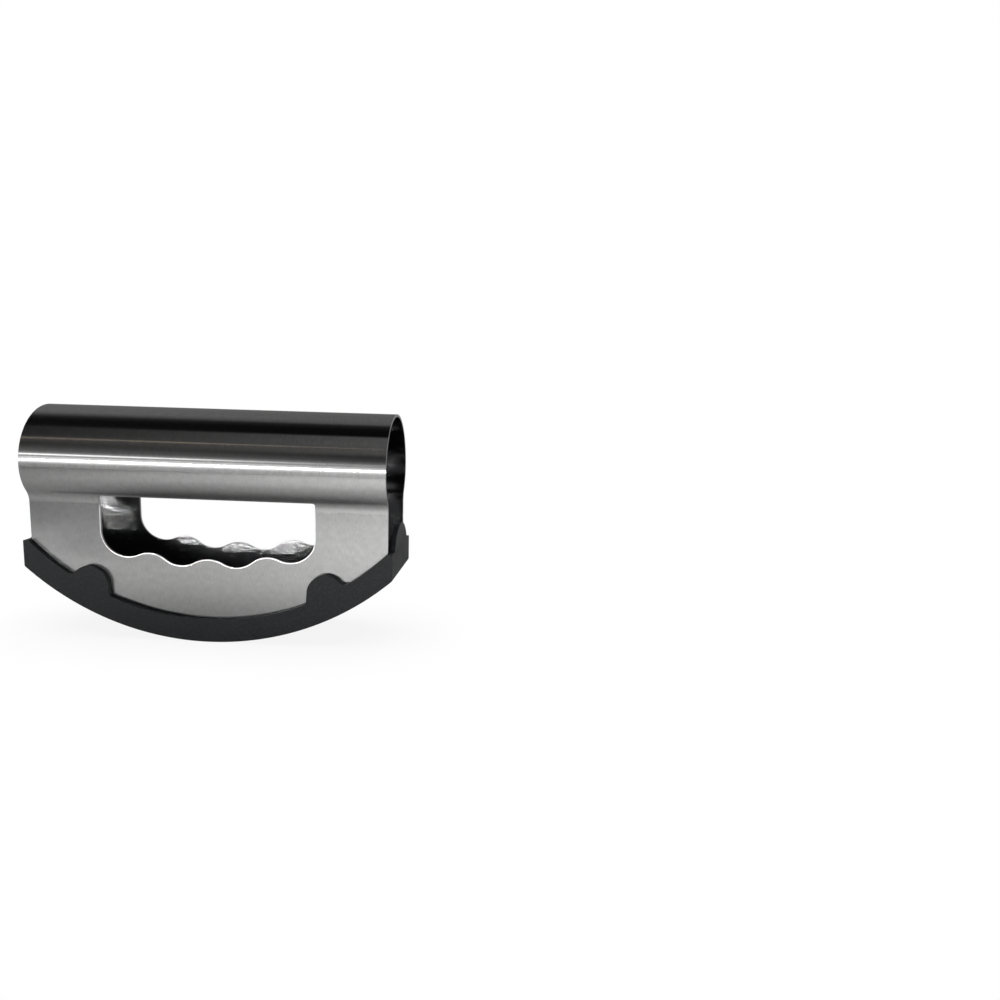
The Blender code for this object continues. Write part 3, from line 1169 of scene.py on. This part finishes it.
@dataclass
class Guard(Piece):
    """The moulded guard: walls with round grips, ends with thumb tabs, floor and guide ribs."""

    # marks the roundings that are painted pale, a painted highlight partly from rubbing
    sheen_and_wear_name = "sheen_and_rubbing"

    rocking_z: float
    half_length: float  # of the strip that it holds
    blade_y: float = SteelBody.blade_y
    blade_thickness: float = SteelBody.thickness
    fit_gap: float = 0.0003
    floor: float = 0.0024
    side_wall: float = 0.0024
    end_wall: float = 0.0022
    edge_radius: float = SteelBody.edge_radius
    band_height: float = 0.0105
    edge_round: float = 0.0007
    edge_flats: int = 4
    heel_fillet: float = 0.0012
    heel_dip: float = 0.0006  # how far the rocker falls from the heel over its fillet
    grip_offset: float = 0.0547
    grip_radius: float = 0.0087
    grip_rise: float = 0.0095
    grip_lean: float = math.radians(4)
    grip_inner_fillet: float = 0.002
    grip_outer_fillet: float = 0.003
    tab_radius: float = 0.017
    tab_rise: float = 0.0105
    tab_root_fillet: float = 0.0015
    tab_sight: float = 0.002  # height over the tab's root that its side is sighted at
    tab_draw: float = 0.99  # half its width there, as a share of that at the root
    rib_thickness: float = 0.0018
    rib_height: float = 0.006
    reach: float = SteelBody.reach
    bite: float = 0.0005  # how far two forms that are joined overlap
    curve_step: float = math.radians(1.25)
    fine_step: float = math.radians(6.0)

    def __post_init__(self) -> None:
        """Works out the sizes that follow from the others."""
        self.outer_radius = self.rocking_z  # the curve just touches the floor
        self.inner_radius = self.edge_radius + self.fit_gap
        self.band_radius = self.edge_radius + self.fit_gap + self.floor - self.band_height
        self.room_x = self.half_length + self.fit_gap
        self.room_y = self.blade_y + self.fit_gap
        self.half_x = self.room_x + self.end_wall
        self.half_y = self.room_y + self.side_wall
        self.shoulder_z = self.arc_z(self.half_length, self.band_radius)
        self.tab_top = self.shoulder_z + self.tab_rise
        self.heel_z = self.arc_z(self.half_x, self.outer_radius)
        self.grip_top = self.arc_z(self.grip_offset, self.band_radius) + self.grip_rise

    def side_outline(self) -> Pen:
        """Draws the guard from the front: rocker, ends, shoulders, grips and band.

        Returns:
            The pen, its outline closed by its last line.
        """
        rocking = (0, self.rocking_z)
        grip = (self.grip_offset, self.grip_top - self.grip_radius)
        outer = circles_meet(
            grip,
            self.grip_radius + self.grip_outer_fillet,
            rocking,
            self.band_radius - self.grip_outer_fillet,
        )
        flank_way = (-math.sin(self.grip_lean), -math.cos(self.grip_lean))
        flank_top = (
            grip[0] - self.grip_radius * math.cos(self.grip_lean),
            grip[1] + self.grip_radius * math.sin(self.grip_lean),
        )
        root = ray_meets_circle(flank_top, flank_way, rocking, self.band_radius)
        valley = tuple(
            Vector(rocking) + (Vector(outer) - Vector(rocking)).normalized() * self.band_radius
        )
        end_x, end_top = self.half_x, self.tab_top + self.bite
        pen = Pen(Plane.FRONT, (0, self.rocking_z - self.outer_radius), self.curve_step)
        dip = (end_x - self.heel_fillet, self.heel_z - self.heel_dip)
        pen.swing(rocking, dip, Turn.LEFT)
        pen.corner((end_x, self.heel_z), (end_x, end_top), self.heel_fillet)
        pen.line((end_x, end_top))
        pen.line((self.half_length, end_top))
        pen.line((self.half_length, self.shoulder_z))
        pen.swing(rocking, valley, Turn.RIGHT)
        pen.step = self.fine_step
        pen.swing(outer, grip, Turn.RIGHT)
        pen.swing(grip, flank_top, Turn.LEFT)
        beyond = root[0] - self.grip_inner_fillet * 2
        pen.corner(root, (beyond, self.arc_z(beyond, self.band_radius)), self.grip_inner_fillet)
        pen.step = self.curve_step
        pen.swing(rocking, (0, 0), Turn.RIGHT)
        return pen

    def arc_z(self, x: float, radius: float) -> float:
        """Gives the height of a curve about the rocking axis at a place along the handle."""
        return self.rocking_z - math.sqrt(radius**2 - x**2)

    def shell(self) -> bpy.types.Object:
        """Makes the solid outer form: half the side outline as a block, mirrored.

        Returns:
            The form.
        """
        pen = self.side_outline()
        bm = pen.block(-self.half_y, self.half_y)
        middle = [f for f in bm.faces if all(abs(v.co.x) < TOUCHING for v in f.verts)]
        bmesh.ops.delete(bm, geom=middle, context="FACES_ONLY")
        bmesh.ops.mirror(
            bm,
            geom=bm.verts[:] + bm.edges[:] + bm.faces[:],
            matrix=Matrix.Identity(4),
            merge_dist=TOUCHING,
            axis="X",
        )
        bmesh.ops.remove_doubles(bm, verts=bm.verts, dist=TOUCHING)
        seam = [e for e in bm.edges if self.splits_side(e)]
        bmesh.ops.dissolve_edges(bm, edges=seam, use_verts=False)
        bmesh.ops.recalc_face_normals(bm, faces=bm.faces)
        return add_object("blade_guard_shell", bm)

    def splits_side(self, edge: bmesh.types.BMEdge) -> bool:
        """Tells whether an edge is the mirror seam across one of the flat side walls."""
        ends = [vert.co for vert in edge.verts]
        on_seam = all(abs(end.x) < TOUCHING for end in ends)
        return on_seam and abs(ends[0].y - ends[1].y) < TOUCHING

    def end_form(self) -> bpy.types.Object:
        """Draws what the guard keeps seen along X: level shoulders and a round tab.

        Returns:
            The form as a block.
        """
        centre = (0, self.tab_top - self.tab_radius)
        root_angle = math.asin((self.shoulder_z - centre[1]) / self.tab_radius)
        root_y = self.tab_radius * math.cos(root_angle)
        side_y = self.half_y + self.bite
        above = (root_y * self.tab_draw, self.shoulder_z + self.tab_sight)
        pen = Pen(Plane.SIDE, (side_y, -self.reach), self.fine_step / 2)
        pen.line((side_y, self.shoulder_z))
        root = (root_y, self.shoulder_z)
        pen.corner(root, above, self.tab_root_fillet)
        pen.line(tuple(Vector(centre) + (pen.at - Vector(centre)).normalized() * self.tab_radius))
        pen.swing(centre, (-pen.at.x, pen.at.y), Turn.LEFT)
        pen.corner((-root_y, self.shoulder_z), (-side_y, self.shoulder_z), self.tab_root_fillet)
        pen.line((-side_y, self.shoulder_z))
        pen.line((-side_y, -self.reach))
        through = self.half_x + self.reach
        return add_object("end_form", pen.block(-through, through))

    def cavity(self) -> bpy.types.Object:
        """Makes the room inside the guard, down to its floor and out to its walls.

        Returns:
            The room as a block.
        """
        rocking, top = (0, self.rocking_z), self.tab_top + self.reach
        corner = (self.room_x, self.arc_z(self.room_x, self.inner_radius))
        pen = Pen(Plane.FRONT, (-corner[0], corner[1]), self.curve_step)
        pen.swing(rocking, corner, Turn.LEFT)
        pen.line((self.room_x, top))
        pen.line((-self.room_x, top))
        return add_object("cavity_cutter", pen.block(-self.room_y, self.room_y))

    def guide_rib(self, name: str, side: int) -> bpy.types.Object:
        """Makes the low rib that holds one blade against its side wall.

        Args:
            name: Name of the rib.
            side: -1 for the front blade's rib, 1 for the rear blade's.

        Returns:
            The rib as a block.
        """
        rocking, end = (0, self.rocking_z), self.room_x + self.bite
        low_radius, high_radius = self.inner_radius + self.bite, self.inner_radius - self.rib_height
        pen = Pen(Plane.FRONT, (-end, self.arc_z(end, low_radius)), self.curve_step)
        pen.swing(rocking, (end, self.arc_z(end, low_radius)), Turn.LEFT)
        pen.line((end, self.arc_z(end, high_radius)))
        pen.swing(rocking, (-end, self.arc_z(end, high_radius)), Turn.RIGHT)
        outer = self.blade_y - self.blade_thickness - self.fit_gap
        low, high = sorted((side * outer, side * (outer - self.rib_thickness)))
        return add_object(name, pen.block(low, high))

    def round_and_mark_sheen_edges(self, obj: bpy.types.Object) -> None:
        """Rounds the outer edges, and marks the roundings for the pale paint, a painted highlight
        partly from rubbing.

        Args:
            obj: The guard.
        """
        with reworked(obj) as bm:
            sheen_and_worn = bm.verts.layers.float.new(self.sheen_and_wear_name)
            for vert in self.round_edges(bm, self.is_outer, self.edge_round, self.edge_flats):
                vert[sheen_and_worn] = 1.0

    def is_outer(self, edge: bmesh.types.BMEdge) -> bool:
        """Tells whether both ends of an edge lie on an outer side face or end face."""
        return all(
            abs(abs(end.co.x) - self.half_x) < TOUCHING
            or abs(abs(end.co.y) - self.half_y) < TOUCHING
            for end in edge.verts
        )

    def build(self, shop: Workshop) -> bpy.types.Object:
        """Moulds the guard: outer form, roundings, room, ribs and finish.

        Args:
            shop: Node groups that finishes share.

        Returns:
            The finished piece.
        """
        guard = self.shell()
        self.cut(guard, self.end_form(), Cut.KEEP_INSIDE)
        self.settle(guard)
        self.round_and_mark_sheen_edges(guard)
        self.cut(guard, self.cavity(), Cut.TAKE_AWAY)
        for name, side in (("front_rib", -1), ("rear_rib", 1)):
            self.cut(guard, self.guide_rib(name, side), Cut.JOIN)
        self.settle(guard)
        guard.data.materials.clear()
        # the pale edges are a painted highlight along the roundings, partly real rubbing
        plastic = BlackPlastic("black plastic", (0.0066, 0.0072, 0.0082), 0.5, sheen_and_wear_share=0.5)
        guard.data.materials.append(plastic.make(shop))
        self.smooth(guard)
        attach(guard, "guard")
        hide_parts("blade_guard")
        return guard


def warm_grey(share: float, warmth: float) -> Colour:
    """Gives a grey with more red and less blue in it, both by the warmth."""
    return (share * (1 + warmth), share, share * (1 - warmth), 1.0)


@dataclass(frozen=True)
class Band:
    """A level of the studio at an angle up from the front horizon, in degrees.

    The level is given for the left and for the right of the studio, as the handle mirrors it.
    """

    angle: float
    left: float
    right: float
    warmth: float = 0.0


@dataclass(frozen=True)
class Strip:
    """A narrow level light of the studio, which the steel mirrors as a thin bright line."""

    angle: float  # up from the front horizon, in degrees, as the rest
    height: float
    level: float
    left: float  # where it starts and ends, out of the handle's cross plane
    right: float
    fade: float = 10.0
    warmth: float = 0.0
    softness: float = 0.1  # share of its height that its upper and lower edges fade over

    def glow(self, tree: Tree, angle: Socket, aside: Socket) -> Socket:
        """Works out the strip's share of a direction's light.

        Args:
            tree: The world's tree.
            angle: Angle up from the front horizon, in degrees.
            aside: Angle out of the handle's cross plane, in degrees.

        Returns:
            The share, from 0 to 1.
        """
        off = tree.math("ABSOLUTE", tree.math("SUBTRACT", angle, self.angle))
        half = self.height / 2
        edge = (half * (1 - self.softness), half * (1 + self.softness))
        tall = tree.span(off, edge, (1.0, 0.0))
        starts = tree.span(aside, (self.left - self.fade, self.left), (0.0, 1.0))
        ends = tree.span(aside, (self.right, self.right + self.fade), (1.0, 0.0))
        return tree.math("MULTIPLY", tall, tree.math("MULTIPLY", starts, ends))


@dataclass(frozen=True)
class Shade:
    """The floor's soft shadow, from the share of the sky that each place sees."""

    distance: float  # how far off a thing still shades the floor
    sky: tuple[float, float]  # share seen where the shadow is deepest, and on the open floor
    tones: tuple[float, float]  # the floor's tones at those two
    samples: int = 16

    def lay(self, tree: Tree) -> Socket:
        """Adds the shadow's nodes, and gives the socket of the floor's tone."""
        seen = tree.node("AmbientOcclusion", samples=self.samples)
        seen.inputs["Distance"].default_value = self.distance
        return tree.span(seen.outputs["AO"], self.sky, self.tones)


@dataclass(frozen=True)
class Lamp:
    """A square soft lamp that the steel doesn't mirror."""

    name: str
    at: Place
    towards: Place
    size: float  # length of its sides
    power: float  # in watts
    spread: float = math.pi  # angle that its light fans out over

    def hang(self) -> None:
        """Hangs the lamp."""
        data = bpy.data.lights.new(self.name, "AREA")
        data.shape, data.size = "SQUARE", self.size
        data.energy, data.spread = self.power, self.spread
        lamp = bpy.data.objects.new(self.name, data)
        lamp.location = self.at
        way = Vector(self.towards) - Vector(self.at)
        lamp.rotation_euler = way.to_track_quat("-Z", "Y").to_euler()
        lamp.visible_camera = False
        lamp.visible_glossy = False
        bpy.context.scene.collection.objects.link(lamp)


@dataclass
class Studio:
    """Camera, floor, surroundings and lamps of the photograph."""

    camera_at: Place = (0.1529, -0.3849, 0.1302)
    camera_yaw: float = math.radians(-3.26)
    camera_pitch: float = math.radians(9.29)
    camera_roll: float = math.radians(-1.555)
    lens: float = 30.39
    sensor_width: float = 36.0
    clip: tuple[float, float] = (0.01, 50.0)
    floor_size: float = 0.8
    floor_roughness: float = 0.45
    floor_ior: float = 1.35
    mirrored_shade: Shade = Shade(0.11, (0.66, 1.0), (0.1125, 0.45))  # the steel mirrors this
    visible_shade: Shade = Shade(0.045, (0.35, 1.0), (0.9, 1.0))  # and the camera sees this
    left_edge: float = -34.0  # angle out of the handle's cross plane that the left levels end at
    right_edge: float = -6.0  # and that the right levels begin at, with a blend between
    mirrored_twice: float = 0.15  # share of its light that the studio has by way of two mirrors
    bands: tuple[Band, ...] = (
        Band(-180, 0.5, 0.5),
        Band(-150, 0.25, 0.25),
        Band(-30, 0.25, 0.4),
        Band(-15, 0.28, 0.68),
        Band(-5, 0.34, 0.68),
        Band(-2.5, 0.6, 0.8),
        Band(-1.0, 1.15, 1.15),
        Band(2.0, 1.0, 1.0),
        Band(5.0, 0.72, 0.8),
        Band(8.0, 1.15, 0.58),
        Band(10.5, 0.6, 0.38),
        Band(13.0, 0.3, 0.3),
        Band(16.0, 0.55, 0.1),
        Band(18.0, 0.42, 0.1),
        Band(20.5, 0.16, 0.08),
        Band(24.0, 0.15, 0.028),
        Band(31.0, 0.078, 0.022),
        Band(38.0, 0.03, 0.115, 0.02),
        Band(48.0, 0.06, 0.112, 0.02),
        Band(58.0, 0.013, 0.138),
        Band(73.5, 0.009, 0.12),
        Band(76.5, 0.009, 0.002),
        Band(95.0, 0.005, 0.005),
        Band(105.0, 0.013, 0.019),
        Band(111.0, 0.052, 0.13),
        Band(122.0, 0.17, 0.133),
        Band(171.0, 0.16, 0.145),
        Band(175.0, 0.6, 0.6),
        Band(180.0, 0.7, 0.7),
    )
    strips: tuple[Strip, ...] = (
        Strip(3.0, 1.0, 55.0, -50.0, 6.0),
        Strip(14.6, 2.2, 2.6, -60.0, -26.0, fade=8.0),
        Strip(49.0, 0.9, 0.55, -60.0, -22.0, warmth=0.2),
    )
    lamps: tuple[Lamp, ...] = (
        Lamp("pool", (0.13, -0.24, 1.0), (0.13, -0.24, 0.0), 0.2, 1.06, math.radians(42)),
        Lamp("front", (1.0, -0.7, 0.5), (0.0, 0.0, 0.04), 0.6, 1.9),
        Lamp("right", (1.3, 0.1, 0.6), (0.0, 0.0, 0.04), 0.7, 0.9),
        Lamp("left", (-1.3, 0.1, 0.6), (0.0, 0.0, 0.04), 0.7, 1.3),
        Lamp("behind", (-0.2, 1.1, 0.6), (0.0, 0.0, 0.05), 0.7, 8.0),
        Lamp("rear pool", (0.02, 0.54, 1.0), (0.02, 0.54, 0.0), 0.2, 0.8, math.radians(42)),
    )

    def place_camera(self) -> None:
        """Puts the camera where the photograph was taken from."""
        yaw, pitch, roll = self.camera_yaw, self.camera_pitch, self.camera_roll
        ahead = Vector(
            (math.sin(yaw) * math.cos(pitch), math.cos(yaw) * math.cos(pitch), -math.sin(pitch))
        )
        right = Vector((math.cos(yaw), -math.sin(yaw), 0))
        down = ahead.cross(right)
        across = math.cos(roll) * right + math.sin(roll) * down
        below = math.cos(roll) * down - math.sin(roll) * right
        data = bpy.data.cameras.new("camera")
        data.lens, data.sensor_width = self.lens, self.sensor_width
        data.sensor_fit = "HORIZONTAL"
        data.clip_start, data.clip_end = self.clip
        camera = bpy.data.objects.new("camera", data)
        turned = Matrix((across, -below, -ahead)).transposed().to_4x4()
        camera.matrix_world = Matrix.Translation(self.camera_at) @ turned
        bpy.context.scene.collection.objects.link(camera)
        bpy.context.scene.camera = camera

    def lay_floor(self) -> None:
        """Lays the pale floor, which the camera sees white with a soft shadow at the tool."""
        bm = bmesh.new()
        bmesh.ops.create_grid(bm, x_segments=1, y_segments=1, size=self.floor_size / 2)
        floor = add_object("floor", bm)
        material = bpy.data.materials.new("pale floor")
        material.use_nodes = True
        tree = Tree(material.node_tree)
        plain = material.node_tree.nodes["Principled BSDF"]
        plain.inputs["Roughness"].default_value = self.floor_roughness
        plain.inputs["IOR"].default_value = self.floor_ior
        tree.link(self.mirrored_shade.lay(tree), plain.inputs["Base Color"])
        seen = tree.node("Emission")
        tree.link(self.visible_shade.lay(tree), seen.inputs["Color"])
        surface = material.node_tree.nodes["Material Output"].inputs["Surface"]
        tree.split_rays(seen.outputs[0], plain.outputs[0], surface)
        floor.data.materials.append(material)

    def hang_surroundings(self) -> None:
        """Sets the world: white to the camera, and the studio's level bands to all else."""
        world = bpy.data.worlds.new("studio")
        world.use_nodes = True
        bpy.context.scene.world = world
        tree = Tree(world.node_tree)
        background = world.node_tree.nodes["Background"]
        parts = tree.node("SeparateXYZ")
        tree.link(tree.node("TexCoord").outputs["Generated"], parts.inputs[0])
        front = tree.math("MULTIPLY", parts.outputs[1], -1.0)
        angle = tree.degrees("ARCTAN2", parts.outputs[2], front)
        aside = tree.degrees("ARCSINE", parts.outputs[0])
        share = tree.span(angle, (-180.0, 180.0), (0.0, 1.0))
        peak = max(max(band.left, band.right) for band in self.bands)
        left, right = tree.node("ValToRGB"), tree.node("ValToRGB")
        for ramp in (left, right):
            elements = ramp.color_ramp.elements
            elements[0].position, elements[1].position = 0.0, 1.0
            for band in self.bands[1:-1]:
                elements.new((band.angle + 180) / 360)
            for element, band in zip(elements, self.bands):
                level = band.left if ramp is left else band.right
                element.color = warm_grey(level / peak, band.warmth)
            tree.link(share, ramp.inputs[0])
        edges = (self.left_edge, self.right_edge)
        level = tree.blend(tree.span(aside, edges, (0.0, 1.0)), left.outputs[0], right.outputs[0])
        for strip in self.strips:
            colour = warm_grey(strip.level / peak, strip.warmth)
            level = tree.blend(strip.glow(tree, angle, aside), level, colour)
        tree.link(level, background.inputs["Color"])
        mirrors = tree.node("LightPath").outputs["Glossy Depth"]
        strength = tree.span(mirrors, (1.0, 2.0), (peak, peak * self.mirrored_twice))
        tree.link(strength, background.inputs["Strength"])
        white = tree.node("Background")
        white.inputs["Color"].default_value = (1, 1, 1, 1)
        surface = world.node_tree.nodes["World Output"].inputs["Surface"]
        tree.split_rays(white.outputs[0], background.outputs[0], surface)

    def set_up(self) -> None:
        """Builds the studio round the tool."""
        self.place_camera()
        self.lay_floor()
        self.hang_surroundings()
        for lamp in self.lamps:
            lamp.hang()
        bpy.context.scene.view_settings.view_transform = "Standard"


def main() -> None:
    """Loads the frame, and builds the tool, its guard and the studio."""
    logging.basicConfig(level=logging.INFO, format="%(name)s: %(message)s")
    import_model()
    steel_low, steel_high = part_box("folded_steel_body")
    rocking_z = SteelBody.edge_height + SteelBody.edge_radius
    length = steel_high.x - steel_low.x
    handle_z = steel_high.z - SteelBody.handle_radius
    shop = Workshop()
    steel = SteelBody(length=length, handle_z=handle_z, rocking_z=rocking_z)
    guard = Guard(rocking_z=rocking_z, half_length=length / 2)
    for piece in (steel.build(shop), guard.build(shop)):
        LOG.info("%s: %d faces", piece.name, len(piece.data.polygons))
    Studio().set_up()


if __name__ == "__main__":
    main()
